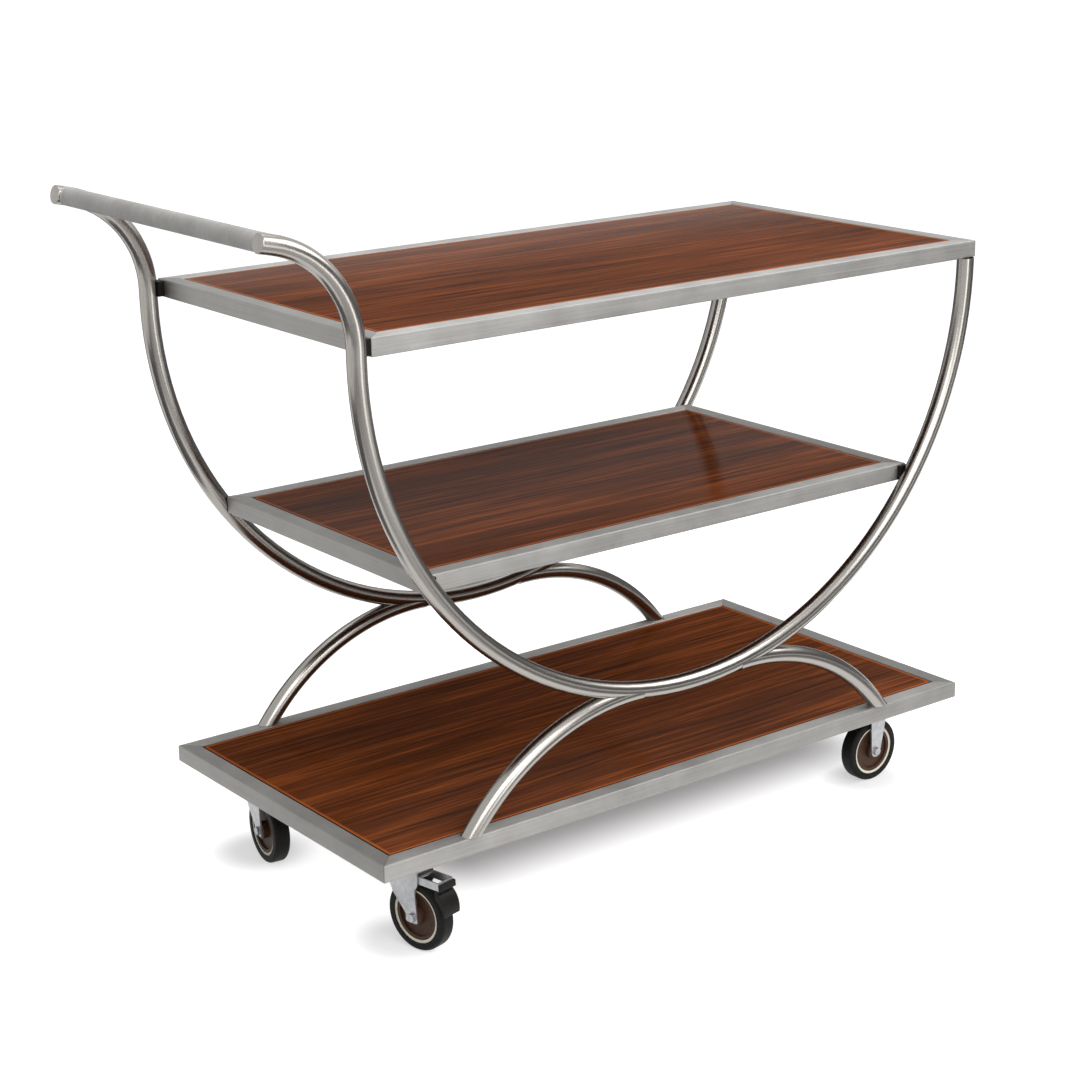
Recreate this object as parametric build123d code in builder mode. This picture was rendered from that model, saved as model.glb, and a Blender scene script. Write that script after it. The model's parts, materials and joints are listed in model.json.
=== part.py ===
from build123d import *
import os
from math import cos, degrees, radians, sin, sqrt

os.makedirs("parts", exist_ok=True)

# Three-tier service cart on four casters. The origin is on the floor under the middle of the cart.
# X runs forward from the push handle, Y to the left of the person who pushes, Z up.

# Driving dimensions, in millimetres and degrees

# Round tube of the sides, legs and push bar
tube_diameter = 25.4
tube_wall = 1.6

# Square tube of the shelf frames
rail_size = 25.0
rail_wall = 1.6
rail_corner_radius = 2.0

# Heights of the shelf surfaces above the floor
top_height = 855.0
middle_height = 530.0
bottom_height = 161.0

# Bowed side tubes: a half circle under the top shelf, with a riser and a handle bend at the rear
bow_radius = 538.0
bow_front_run = 2.0
handle_riser = 15.0
handle_bend_radius = 142.0
handle_bend_angle = 78.0
handle_end_run = 16.0
tube_inset = 9.0
bar_setback = 14.0
cap_thickness = 2.0
cap_edge_radius = 1.2
cap_plug_length = 10.0

# Legs: arcs that leave the half circles on a tangent and land on the bottom frame
leg_radius = 346.0
leg_tangent_angle = 7.0
leg_tip_run = 26.0

# Shelf frames in plan
top_side_overhang = 5.0
top_front_overhang = 14.8
bottom_length = 1076.0
bottom_width = 541.0
bottom_offset = 8.0

# Boards and the ledges under them
board_thickness = 12.0
board_recess = 0.8
board_gap = 0.4
board_edge = 0.6
ledge_width = 18.0
ledge_thickness = 3.0
ledge_end_gap = 3.0

# Black spacer blocks between the side tubes and the shelves
top_spacer_thickness = 5.9
middle_spacer_thickness = 1.5
spacer_grip = 4.0
spacer_length = 16.0

# Caster places under the bottom frame
rear_caster_inset = 80.0
front_axle_inset = 102.0
caster_side_inset = 85.0
rear_right_heading = -77.4
rear_left_heading = -97.0

# Corner plates that carry the casters, and the bolts through them
corner_plate_thickness = 5.0
corner_plate_margin = 58.0
caster_plate_length = 104.0
caster_plate_width = 80.0
caster_plate_thickness = 3.0
caster_plate_corner = 8.0
bolt_spacing_x = 80.0
bolt_spacing_y = 56.0
bolt_radius = 4.0
bolt_head_flats = 13.0
bolt_head_height = 5.0
bolt_tail = 2.0
nut_height = 6.5

# Wheels
wheel_diameter = 100.0
tyre_width = 24.0
tyre_shoulder = 5.0
liner_radius = 38.8
liner_width = 20.6
core_radius = 34.9
core_rim_width = 19.6
core_rim_depth = 5.0
core_web_width = 13.0
core_boss_radius = 13.0
sleeve_radius = 7.0
axle_radius = 4.0
axle_head_flats = 11.0
axle_head_height = 4.0
axle_tail = 2.0

# Forks
fork_gap = 30.0
fork_thickness = 2.5
fork_toe_lead = 12.0
fork_toe_trail = 9.0
fork_toe_rise = 3.0
fork_toe_drop = 8.0
fork_knee_height = 29.0
fork_knee_reach = 35.0
fork_heel = 10.0
fork_neck = 4.5
fork_neck_drop = 16.0
fork_ear_drop = 8.0
fork_shoulder = 16.0
fork_corner = 3.0
rigid_fork_rear = 13.0
rigid_fork_front = 26.0
rigid_fork_toe = 9.5

# Swivel heads
caster_trail = 38.4
crown_radius = 28.0
dish_radius = 23.0
dish_depth = 5.0
kingpin_radius = 6.0
kingpin_head_radius = 11.0
kingpin_head_height = 4.0
race_height = 5.0
race_radius = 19.5
race_width = 5.0

# Brake on the rear right caster
brake_pin_radius = 2.5
brake_pin_forward = 5.0
brake_pin_rise = 6.0
brake_travel = 6.0
lever_thickness = 2.0
lever_height = 11.0
lever_reach = 41.0
lever_drop = 4.5
pedal_low_angle = 10.0
pedal_high_angle = 42.0
pedal_lip = 4.0
pedal_neck = 3.0
pedal_notch = 3.0
pedal_bulge = 8.0
pedal_toe = 2.0
pedal_width = 30.0
pedal_rounding = 1.2

# Clearances
weld_gap = 0.05
bond_gap = 0.05
running_gap = 0.06
bolt_gap = 0.25
side_gap = 0.4
tyre_gap = 0.3

# Worked-out sizes
tube_radius = tube_diameter / 2
tube_plane = bottom_width / 2 - tube_inset
top_width = 2 * (tube_plane + top_side_overhang)
top_underside = top_height - rail_size
bow_z = top_underside - bow_front_run
bend_z = bow_z + handle_riser
bend_sin = sin(radians(handle_bend_angle))
bend_cos = cos(radians(handle_bend_angle))
handle_span = (
    bow_radius
    + handle_bend_radius * (1 - bend_cos)
    + (handle_end_run + cap_thickness) * bend_sin
    + tube_radius * bend_cos
)
front_span = bow_radius + top_front_overhang
bow_x = (handle_span - front_span) / 2
bow_front_x = bow_x + bow_radius
bow_rear_x = bow_x - bow_radius
top_rear_x = bow_rear_x + tube_radius + top_spacer_thickness
top_front_x = bow_x + front_span
middle_mid_z = middle_height - rail_size / 2
middle_length = 2 * sqrt(bow_radius**2 - (bow_z - middle_mid_z) ** 2)
middle_width = 2 * (tube_plane - tube_radius - middle_spacer_thickness)
bottom_x = bow_x + bottom_offset
wheel_radius = wheel_diameter / 2
mount_z = bottom_height - rail_size
caster_y = bottom_width / 2 - caster_side_inset
rear_pivot_x = bottom_x - bottom_length / 2 + rear_caster_inset
front_axle_x = bottom_x + bottom_length / 2 - front_axle_inset
fork_width = fork_gap + 2 * fork_thickness
sides = {"right": -1, "left": 1}


def write(piece, name):
    """Label one finished piece and save it under its name."""
    piece.part.label = name
    export_step(piece.part, f"parts/{name}.step")


# Shelves: four mitred rails, a board let into them, and the ledges that carry it

shelves = {
    "top": ((top_rear_x + top_front_x) / 2, top_front_x - top_rear_x, top_width, top_height),
    "middle": (bow_x, middle_length, middle_width, middle_height),
    "bottom": (bottom_x, bottom_length, bottom_width, bottom_height),
}
rail_directions = {"right": (-1, 0), "left": (1, 0), "front": (0, -1), "rear": (0, 1)}


def mitred_strip(half_run, reach, outer, inner):
    """Strip along one side of a frame, between two depths from its outer edge, mitred at both ends."""
    Polygon(
        (outer - half_run, reach - outer),
        (half_run - outer, reach - outer),
        (half_run - inner, reach - inner),
        (inner - half_run, reach - inner),
        align=None,
    )


for shelf, (shelf_x, length, width, height) in shelves.items():
    for end, direction in rail_directions.items():
        along_x = direction[0] != 0
        half_run = (length if along_x else width) / 2
        reach = (width if along_x else length) / 2
        rail_top = Plane(origin=(shelf_x, 0, height), x_dir=(*direction, 0), z_dir=(0, 0, 1))
        with BuildPart() as rail:
            with BuildSketch(rail_top):
                mitred_strip(half_run, reach, 0, rail_size)
            extrude(amount=-rail_size)
            long_edges = rail.edges().filter_by(Axis((0, 0, 0), (*direction, 0)))
            fillet(long_edges, radius=rail_corner_radius)
            with BuildSketch(rail_top.offset(-rail_wall)):
                mitred_strip(half_run, reach, rail_wall, rail_size - rail_wall)
            extrude(amount=2 * rail_wall - rail_size, mode=Mode.SUBTRACT)
        write(rail, f"{shelf}_{end}_rail")

    board_top = height - board_recess
    board_base = board_top - board_thickness

    with BuildPart() as board:
        with BuildSketch(Plane(origin=(shelf_x, 0, board_top))):
            Rectangle(length - 2 * (rail_size + board_gap), width - 2 * (rail_size + board_gap))
        extrude(amount=-board_thickness)
        chamfer(board.faces().sort_by(Axis.Z)[-1].edges(), length=board_edge)
    write(board, f"{shelf}_board")

    with BuildPart() as ledges:
        with BuildSketch(Plane(origin=(shelf_x, 0, board_base))):
            with GridLocations(0, width - 2 * rail_size - ledge_width, 1, 2):
                Rectangle(length - 2 * (rail_size + ledge_end_gap), ledge_width)
        extrude(amount=-ledge_thickness)
    write(ledges, f"{shelf}_board_ledges")


# Side tubes: one bent tube a side, from under the top shelf's front end round to the handle

bend_end_x = bow_rear_x - handle_bend_radius * (1 - bend_cos)
bend_end_z = bend_z + handle_bend_radius * bend_sin
tube_end_x = bend_end_x - handle_end_run * bend_sin
tube_end_z = bend_end_z + handle_end_run * bend_cos
bar_x = tube_end_x + bar_setback * bend_sin
bar_z = tube_end_z - bar_setback * bend_cos


def side_plane(side):
    """Upright plane through the axis of one side's tube, X forward and Y up."""
    return Plane.XZ.offset(-side * tube_plane)


def bowed_path(side, end_run):
    """Axis of one side tube, with the straight run at its handle end as long as asked."""
    with BuildLine(side_plane(side)) as path:
        Line((bow_front_x, top_underside), (bow_front_x, bow_z))
        CenterArc((bow_x, bow_z), bow_radius, 0, -180)
        Line((bow_rear_x, bow_z), (bow_rear_x, bend_z))
        CenterArc((bow_rear_x - handle_bend_radius, bend_z), handle_bend_radius, 0, handle_bend_angle)
        Line(
            (bend_end_x, bend_end_z),
            (bend_end_x - end_run * bend_sin, bend_end_z + end_run * bend_cos),
        )
    return path.wires()[0]


tube_envelopes = {}
for side_name, side in sides.items():
    tube_axis = bowed_path(side, handle_end_run)
    with BuildPart() as side_tube:
        with BuildSketch(Plane(origin=tube_axis @ 0, z_dir=tube_axis % 0)):
            Circle(tube_radius)
            Circle(tube_radius - tube_wall, mode=Mode.SUBTRACT)
        sweep(path=tube_axis)
    write(side_tube, f"{side_name}_side_tube")

    # Room that the tube takes up, which the pieces welded to it are cut back from
    envelope_axis = bowed_path(side, handle_end_run + tube_diameter)
    with BuildPart() as envelope:
        with BuildSketch(Plane(origin=envelope_axis @ 0, z_dir=envelope_axis % 0)):
            Circle(tube_radius + weld_gap)
        sweep(path=envelope_axis)
    tube_envelopes[side_name] = envelope.part


# Push bar, coped to the inner sides of both tubes, and the caps that close the tubes' ends

with BuildPart() as push_bar:
    with BuildSketch(Plane.XZ.offset(-tube_plane)):
        with Locations((bar_x, bar_z)):
            Circle(tube_radius)
            Circle(tube_radius - tube_wall, mode=Mode.SUBTRACT)
    extrude(amount=2 * tube_plane)
    for envelope in tube_envelopes.values():
        add(envelope, mode=Mode.SUBTRACT)
write(push_bar, "push_bar")

with BuildPart() as end_caps:
    for side in sides.values():
        cap_plane = Plane(
            origin=(tube_end_x, side * tube_plane, tube_end_z),
            x_dir=(0, 1, 0),
            z_dir=(-bend_sin, 0, bend_cos),
        )
        with BuildSketch(cap_plane):
            Circle(tube_radius)
        extrude(amount=cap_thickness)
        with BuildSketch(cap_plane):
            Circle(tube_radius - tube_wall - running_gap)
        extrude(amount=-cap_plug_length)
    outer_rims = end_caps.edges().filter_by(GeomType.CIRCLE).group_by(Axis.X)[0]
    fillet(outer_rims, radius=cap_edge_radius)
write(end_caps, "handle_end_caps")


# Legs: hollow arcs, coped to the underside of the side tubes and cut level on the bottom rails

leg_reach = bow_radius + leg_radius
leg_centre_x = leg_reach * sin(radians(leg_tangent_angle))
leg_centre_z = bow_z - leg_reach * cos(radians(leg_tangent_angle))
leg_tip_angle = 90 + leg_tangent_angle - degrees(leg_tip_run / leg_radius)

for side_name, side in sides.items():
    for end, forward in {"front": 1, "rear": -1}.items():
        with BuildLine(side_plane(side)) as leg_path:
            CenterArc((bow_x + leg_centre_x, leg_centre_z), leg_radius, leg_tip_angle, -leg_tip_angle)
        leg_axis = leg_path.wires()[0]
        with BuildPart() as leg:
            with BuildSketch(Plane(origin=leg_axis @ 0, z_dir=leg_axis % 0)):
                Circle(tube_radius)
                Circle(tube_radius - tube_wall, mode=Mode.SUBTRACT)
            sweep(path=leg_axis)
            split(bisect_by=Plane.XY.offset(bottom_height), keep=Keep.TOP)
            if forward < 0:
                mirror(about=Plane.YZ.offset(bow_x), mode=Mode.REPLACE)
            add(tube_envelopes[side_name], mode=Mode.SUBTRACT)
        write(leg, f"{end}_{side_name}_leg")


# Black spacer blocks, flat on the shelf frames and hollowed to the tubes

spacer_height = rail_size - 2 * rail_corner_radius

with BuildPart() as top_spacers:
    for side_name, side in sides.items():
        inner_y = tube_plane - tube_radius
        outer_y = top_width / 2 - rail_corner_radius
        with BuildSketch(Plane.YZ.offset(top_rear_x)):
            with Locations((side * (inner_y + outer_y) / 2, top_height - rail_size / 2)):
                Rectangle(outer_y - inner_y, spacer_height)
        extrude(amount=-(top_spacer_thickness + spacer_grip))
        add(tube_envelopes[side_name], mode=Mode.SUBTRACT)
write(top_spacers, "top_shelf_spacers")

with BuildPart() as middle_spacers:
    for side_name, side in sides.items():
        for forward in (-1, 1):
            with BuildSketch(Plane.XZ.offset(-side * middle_width / 2)):
                with Locations((bow_x + forward * (middle_length - spacer_length) / 2, middle_mid_z)):
                    Rectangle(spacer_length, spacer_height)
            extrude(amount=-side * (middle_spacer_thickness + spacer_grip))
        add(tube_envelopes[side_name], mode=Mode.SUBTRACT)
write(middle_spacers, "middle_shelf_spacers")


# Caster mountings: corner plates welded inside the bottom frame, flush with its underside

front_centre = Plane(origin=(front_axle_x, 0, mount_z))
rear_centre = Plane(origin=(rear_pivot_x, 0, mount_z))
inner_rail_y = bottom_width / 2 - rail_size
plate_depth = caster_side_inset - rail_size + corner_plate_margin

with BuildPart() as corner_plates:
    plate_places = ((front_centre, front_axle_inset, 1), (rear_centre, rear_caster_inset, -1))
    for centre, inset, forward in plate_places:
        plate_length = inset - rail_size + corner_plate_margin
        with BuildSketch(centre):
            with Locations((forward * (plate_length / 2 - corner_plate_margin), 0)):
                with GridLocations(0, 2 * inner_rail_y - plate_depth, 1, 2):
                    Rectangle(plate_length, plate_depth)
            with GridLocations(0, 2 * caster_y, 1, 2):
                with GridLocations(bolt_spacing_x, bolt_spacing_y, 2, 2):
                    Circle(bolt_radius + bolt_gap, mode=Mode.SUBTRACT)
        extrude(amount=corner_plate_thickness)
write(corner_plates, "caster_corner_plates")

nut_top = mount_z - caster_plate_thickness
bolt_end = nut_top - nut_height - bolt_tail
with BuildPart() as caster_bolts:
    for centre in (front_centre, rear_centre):
        head_base = centre.offset(corner_plate_thickness)
        with BuildSketch(head_base):
            with GridLocations(0, 2 * caster_y, 1, 2):
                with GridLocations(bolt_spacing_x, bolt_spacing_y, 2, 2):
                    RegularPolygon(bolt_head_flats / 2, 6, major_radius=False)
        extrude(amount=bolt_head_height)
        with BuildSketch(head_base):
            with GridLocations(0, 2 * caster_y, 1, 2):
                with GridLocations(bolt_spacing_x, bolt_spacing_y, 2, 2):
                    Circle(bolt_radius)
        extrude(amount=bolt_end - mount_z - corner_plate_thickness)
        with BuildSketch(centre.offset(-caster_plate_thickness)):
            with GridLocations(0, 2 * caster_y, 1, 2):
                with GridLocations(bolt_spacing_x, bolt_spacing_y, 2, 2):
                    RegularPolygon(bolt_head_flats / 2, 6, major_radius=False)
        extrude(amount=-nut_height)
write(caster_bolts, "caster_bolts")


# Wheels and axles, the same on all four casters


def wheel_plane(x, y, heading):
    """Middle plane of a wheel: origin on the axle, X along the trail, Y up, Z along the axle."""
    turn = radians(heading)
    return Plane(
        origin=(x, y, wheel_radius),
        x_dir=(cos(turn), sin(turn), 0),
        z_dir=(sin(turn), -cos(turn), 0),
    )


def build_wheel(name, plane):
    """Core, liner and tyre of one wheel."""
    axle_line = Axis(plane.origin, plane.z_dir)
    section_plane = Plane(origin=plane.origin, x_dir=plane.x_dir, z_dir=(0, 0, -1))
    boss_width = fork_gap - 2 * side_gap
    bore = sleeve_radius + running_gap
    with BuildPart() as core:
        with BuildSketch(section_plane):
            with Locations(((bore + core_radius) / 2, 0)):
                Rectangle(core_radius - bore, core_web_width)
            with Locations(((bore + core_boss_radius) / 2, 0)):
                Rectangle(core_boss_radius - bore, boss_width)
            with Locations((core_radius - core_rim_depth / 2, 0)):
                Rectangle(core_rim_depth, core_rim_width)
        revolve(axis=axle_line)
    write(core, f"{name}_wheel_core")

    with BuildPart() as liner:
        with BuildSketch(section_plane):
            with Locations(((core_radius + bond_gap + liner_radius) / 2, 0)):
                Rectangle(liner_radius - core_radius - bond_gap, liner_width)
        revolve(axis=axle_line)
    write(liner, f"{name}_wheel_liner")

    with BuildPart() as tyre:
        with BuildSketch(section_plane) as tyre_section:
            with Locations(((liner_radius + bond_gap + wheel_radius) / 2, 0)):
                Rectangle(wheel_radius - liner_radius - bond_gap, tyre_width)
            fillet(tyre_section.vertices().group_by(Axis.X)[-1], radius=tyre_shoulder)
        revolve(axis=axle_line)
    write(tyre, f"{name}_tyre")


def axle_sleeve(plane):
    """Bearing sleeve clamped between the fork legs."""
    with BuildPart() as sleeve:
        with BuildSketch(plane.offset(-fork_gap / 2)):
            Circle(sleeve_radius)
            Circle(axle_radius + running_gap, mode=Mode.SUBTRACT)
        extrude(amount=fork_gap)
    return sleeve.part


def axle_bolt(plane, head_side):
    """Axle bolt through both fork legs, head on the side asked for, and its lock nut."""
    head_plane = plane.offset(head_side * fork_width / 2)
    nut_plane = plane.offset(-head_side * fork_width / 2)
    with BuildPart() as bolt:
        with BuildSketch(head_plane):
            RegularPolygon(axle_head_flats / 2, 6, major_radius=False)
        extrude(amount=head_side * axle_head_height)
        with BuildSketch(head_plane):
            Circle(axle_radius)
        extrude(amount=-head_side * (fork_width + nut_height + axle_tail))
        with BuildSketch(nut_plane):
            RegularPolygon(bolt_head_flats / 2, 6, major_radius=False)
        extrude(amount=-head_side * nut_height)
    return bolt.part


wheels = {
    "rear_right": wheel_plane(
        rear_pivot_x + caster_trail * cos(radians(rear_right_heading)),
        -caster_y + caster_trail * sin(radians(rear_right_heading)),
        rear_right_heading,
    ),
    "rear_left": wheel_plane(
        rear_pivot_x + caster_trail * cos(radians(rear_left_heading)),
        caster_y + caster_trail * sin(radians(rear_left_heading)),
        rear_left_heading,
    ),
    "front_right": wheel_plane(front_axle_x, -caster_y, 0),
    "front_left": wheel_plane(front_axle_x, caster_y, 0),
}

for name, plane in wheels.items():
    build_wheel(name, plane)

for name in ("rear_right", "rear_left"):
    with BuildPart() as axle:
        add(axle_bolt(wheels[name], 1))
    write(axle, f"{name}_axle_bolt")
    with BuildPart() as wheel_sleeve:
        add(axle_sleeve(wheels[name]))
    write(wheel_sleeve, f"{name}_wheel_sleeve")

with BuildPart() as front_axles:
    for name, head_side in {"front_right": 1, "front_left": -1}.items():
        add(axle_bolt(wheels[name], head_side))
write(front_axles, "front_axle_bolts")

with BuildPart() as front_sleeves:
    for name in ("front_right", "front_left"):
        add(axle_sleeve(wheels[name]))
write(front_sleeves, "front_wheel_sleeves")


# Rigid front casters: one pressed fork each, plate and legs in one piece

for name in ("front_right", "front_left"):
    plane = wheels[name]
    plate_top = Plane(origin=(plane.origin.X, plane.origin.Y, mount_z))
    leg_top = mount_z - wheel_radius - caster_plate_thickness / 2
    with BuildPart() as rigid_fork:
        with BuildSketch(plate_top):
            RectangleRounded(caster_plate_length, caster_plate_width, caster_plate_corner)
            with GridLocations(bolt_spacing_x, bolt_spacing_y, 2, 2):
                Circle(bolt_radius + bolt_gap, mode=Mode.SUBTRACT)
        extrude(amount=-caster_plate_thickness)
        for outward in (-1, 1):
            with BuildSketch(plane.offset(outward * fork_gap / 2)):
                with BuildLine():
                    Polyline(
                        (-rigid_fork_toe, 0),
                        (-rigid_fork_rear, leg_top),
                        (rigid_fork_front, leg_top),
                        (rigid_fork_toe, 0),
                    )
                    CenterArc((0, 0), rigid_fork_toe, 0, -180)
                make_face()
            extrude(amount=outward * fork_thickness)
        with BuildSketch(plane):
            Circle(axle_radius + running_gap)
        extrude(amount=fork_width, both=True, mode=Mode.SUBTRACT)
    write(rigid_fork, f"{name}_fork")


# Swivel rear casters: dished top plate, kingpin, bearing race and a trailing fork

pivots = {
    "rear_right": (-caster_y, rear_right_heading),
    "rear_left": (caster_y, rear_left_heading),
}
dish_floor_z = mount_z - dish_depth
dish_base_z = dish_floor_z - caster_plate_thickness
crown_z = dish_base_z - race_height - running_gap
crown_base_z = crown_z - fork_thickness
brake_pin_height = wheel_radius + brake_pin_rise

for name, (pivot_y, heading) in pivots.items():
    plane = wheels[name]
    pivot_top = Plane(origin=(rear_pivot_x, pivot_y, mount_z))

    with BuildPart() as top_plate:
        with BuildSketch(pivot_top):
            RectangleRounded(caster_plate_length, caster_plate_width, caster_plate_corner)
            with GridLocations(bolt_spacing_x, bolt_spacing_y, 2, 2):
                Circle(bolt_radius + bolt_gap, mode=Mode.SUBTRACT)
        extrude(amount=-caster_plate_thickness)
        with BuildSketch(pivot_top):
            Circle(dish_radius)
        extrude(amount=-dish_depth - caster_plate_thickness)
        with BuildSketch(pivot_top):
            Circle(dish_radius - caster_plate_thickness)
        extrude(amount=-dish_depth, mode=Mode.SUBTRACT)
        with BuildSketch(pivot_top):
            Circle(kingpin_radius + running_gap)
        extrude(amount=-dish_depth - caster_plate_thickness, mode=Mode.SUBTRACT)
    write(top_plate, f"{name}_top_plate")

    with BuildPart() as kingpin:
        with BuildSketch(Plane(origin=(rear_pivot_x, pivot_y, dish_floor_z))):
            Circle(kingpin_head_radius)
        extrude(amount=kingpin_head_height)
        with BuildSketch(Plane(origin=(rear_pivot_x, pivot_y, dish_floor_z))):
            Circle(kingpin_radius)
        extrude(amount=crown_base_z - side_gap - dish_floor_z)
        with BuildSketch(Plane(origin=(rear_pivot_x, pivot_y, crown_base_z - side_gap))):
            Circle(kingpin_head_radius)
        extrude(amount=-kingpin_head_height)
    write(kingpin, f"{name}_kingpin")

    crown_plane = Plane(origin=(rear_pivot_x, pivot_y, crown_z), x_dir=plane.x_dir, z_dir=(0, 0, 1))
    leg_top = crown_z - wheel_radius
    with BuildPart() as fork:
        with BuildSketch(crown_plane):
            Circle(crown_radius)
            with Locations(((caster_trail + fork_heel) / 2, 0)):
                Rectangle(caster_trail + fork_heel, fork_width)
            Circle(kingpin_radius + running_gap, mode=Mode.SUBTRACT)
        extrude(amount=-fork_thickness)
        for outward in (-1, 1):
            with BuildSketch(plane.offset(outward * fork_gap / 2)):
                with BuildLine():
                    leg_edge = FilletPolyline(
                        (-caster_trail - fork_shoulder, leg_top),
                        (-fork_knee_reach, fork_knee_height),
                        (-fork_toe_lead, fork_toe_rise),
                        (-fork_toe_lead, -fork_toe_drop),
                        (fork_toe_trail, -fork_toe_drop),
                        (fork_neck, brake_pin_height - fork_neck_drop),
                        (fork_heel, brake_pin_height - fork_ear_drop),
                        (fork_heel, leg_top),
                        radius=fork_corner,
                    )
                    Line(leg_edge @ 1, leg_edge @ 0)
                make_face()
            extrude(amount=outward * fork_thickness)
        with BuildSketch(plane):
            Circle(axle_radius + running_gap)
            if name == "rear_right":
                with Locations((brake_pin_forward, brake_pin_height)):
                    Circle(brake_pin_radius + running_gap)
        extrude(amount=fork_width, both=True, mode=Mode.SUBTRACT)
    write(fork, f"{name}_fork")

with BuildPart() as races:
    with BuildSketch(Plane(origin=(rear_pivot_x, 0, dish_base_z))):
        with GridLocations(0, 2 * caster_y, 1, 2):
            Circle(race_radius)
            Circle(race_radius - race_width, mode=Mode.SUBTRACT)
    extrude(amount=-race_height)
write(races, "swivel_races")


# Brake of the rear right caster: a lever hinged on the fork, with a pedal block behind the tyre.
# Both are drawn as pressed home, round the tyre, on a plane tipped back by the lever's travel.

brake_wheel = wheels["rear_right"]
pin_point = brake_wheel.from_local_coords((brake_pin_forward, brake_pin_height))
tilt = radians(brake_travel)
tipped_x = brake_wheel.x_dir * cos(tilt) + Vector(0, 0, 1) * sin(tilt)
brake_plane = Plane(origin=pin_point, x_dir=tipped_x, z_dir=brake_wheel.z_dir)
lever_width = fork_gap - 2 * side_gap

with BuildPart() as brake_pin:
    with BuildSketch(brake_plane.offset(-fork_width / 2)):
        Circle(brake_pin_radius)
    extrude(amount=fork_width)
write(brake_pin, "rear_right_brake_pin")

with BuildPart() as brake_lever:
    with BuildSketch(brake_plane.offset(-lever_width / 2)):
        with BuildLine():
            Polyline(
                (0, lever_height / 2),
                (lever_reach, lever_height / 2 - lever_drop),
                (lever_reach, -lever_height / 2 - lever_drop),
                (0, -lever_height / 2),
            )
            CenterArc((0, 0), lever_height / 2, 90, 180)
        make_face()
        Circle(brake_pin_radius + running_gap, mode=Mode.SUBTRACT)
    extrude(amount=lever_width)
    with BuildSketch(brake_plane.offset(lever_thickness - lever_width / 2)):
        with Locations(((lever_reach - lever_thickness - lever_height) / 2, 0)):
            Rectangle(lever_reach - lever_thickness + lever_height, 2 * (lever_height + lever_drop))
    extrude(amount=lever_width - 2 * lever_thickness, mode=Mode.SUBTRACT)
write(brake_lever, "rear_right_brake_lever")

pressed_radius = wheel_radius + tyre_gap
low = radians(pedal_low_angle)
middle = radians((pedal_low_angle + pedal_high_angle) / 2)
pedal_face_x = lever_reach + brake_pin_forward
pedal_foot_z = brake_pin_height - lever_height / 2 - lever_drop - side_gap
pedal_top_z = pedal_foot_z + lever_height - lever_thickness
notch_x = pedal_face_x - pedal_notch
notch_z = pedal_foot_z - pedal_neck
pressed_axle = brake_plane.from_local_coords((-brake_pin_forward, -brake_pin_height))
pedal_plane = Plane(origin=pressed_axle, x_dir=tipped_x, z_dir=brake_wheel.z_dir)

with BuildPart() as brake_pedal:
    with BuildSketch(pedal_plane.offset(-pedal_width / 2)) as pedal_profile:
        with BuildLine():
            inner = CenterArc((0, 0), pressed_radius, pedal_low_angle, pedal_high_angle - pedal_low_angle)
            Polyline(
                inner @ 1,
                ((inner @ 1).X, pedal_foot_z),
                (pedal_face_x, pedal_foot_z),
                (pedal_face_x, pedal_top_z),
                (pedal_face_x + pedal_lip, pedal_top_z),
                (pedal_face_x + pedal_lip, pedal_foot_z),
                (notch_x, notch_z),
            )
            lobe = ThreePointArc(
                (notch_x, notch_z),
                ((pressed_radius + pedal_bulge) * cos(middle), (pressed_radius + pedal_bulge) * sin(middle)),
                ((pressed_radius + pedal_toe) * cos(low), (pressed_radius + pedal_toe) * sin(low)),
            )
            Line(lobe @ 1, inner @ 0)
        make_face()
        lip_corners = pedal_profile.vertices().group_by(Axis.Y)[-1].group_by(Axis.X)[-1]
        toe_corners = pedal_profile.vertices().group_by(Axis.Y)[1]
        fillet(lip_corners + toe_corners, radius=pedal_rounding)
    extrude(amount=pedal_width)
write(brake_pedal, "rear_right_brake_pedal")
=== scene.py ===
# %% [markdown]
# # A three-tier service cart
#
# The cart has three wood-grain shelves in square steel frames, hung between two bowed steel tubes. The tubes end in
# a push handle, curved legs carry them on the bottom frame, and four casters carry the whole cart.
# The solid model comes from CAD as a fixed frame. This lesson dresses it: each finish is built from shader nodes,
# the small fixings that CAD leaves out are made as meshes, and then come the floor, the light and the camera.

import json
from math import acos, cos, pi, radians, sin, sqrt

import bmesh
import bpy
from mathutils import Matrix, Vector


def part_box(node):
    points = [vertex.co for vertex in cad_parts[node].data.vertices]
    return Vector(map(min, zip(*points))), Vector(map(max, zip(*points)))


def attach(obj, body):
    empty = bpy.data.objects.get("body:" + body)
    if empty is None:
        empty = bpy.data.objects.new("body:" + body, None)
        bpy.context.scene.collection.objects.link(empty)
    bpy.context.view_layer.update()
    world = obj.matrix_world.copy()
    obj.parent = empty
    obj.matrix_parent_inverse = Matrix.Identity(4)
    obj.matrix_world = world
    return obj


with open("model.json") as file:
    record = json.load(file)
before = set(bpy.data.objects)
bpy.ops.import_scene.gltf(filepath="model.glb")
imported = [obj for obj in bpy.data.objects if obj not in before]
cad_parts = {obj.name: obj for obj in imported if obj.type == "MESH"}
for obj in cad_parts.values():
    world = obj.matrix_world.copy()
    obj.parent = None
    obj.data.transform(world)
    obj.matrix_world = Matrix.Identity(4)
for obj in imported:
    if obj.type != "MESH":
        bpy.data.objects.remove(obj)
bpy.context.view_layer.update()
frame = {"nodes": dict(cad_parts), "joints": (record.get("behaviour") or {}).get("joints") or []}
nodes = frame["nodes"]

# %% [markdown]
# ## Round surfaces
#
# The solids arrive as triangles, with separate points along every seam between two faces. A small geometry node tree
# welds those points and shades the surface smooth, except along edges sharper than a set angle. It could also be done
# by hand in edit mode, but a modifier leaves the CAD mesh itself as it was.

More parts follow.
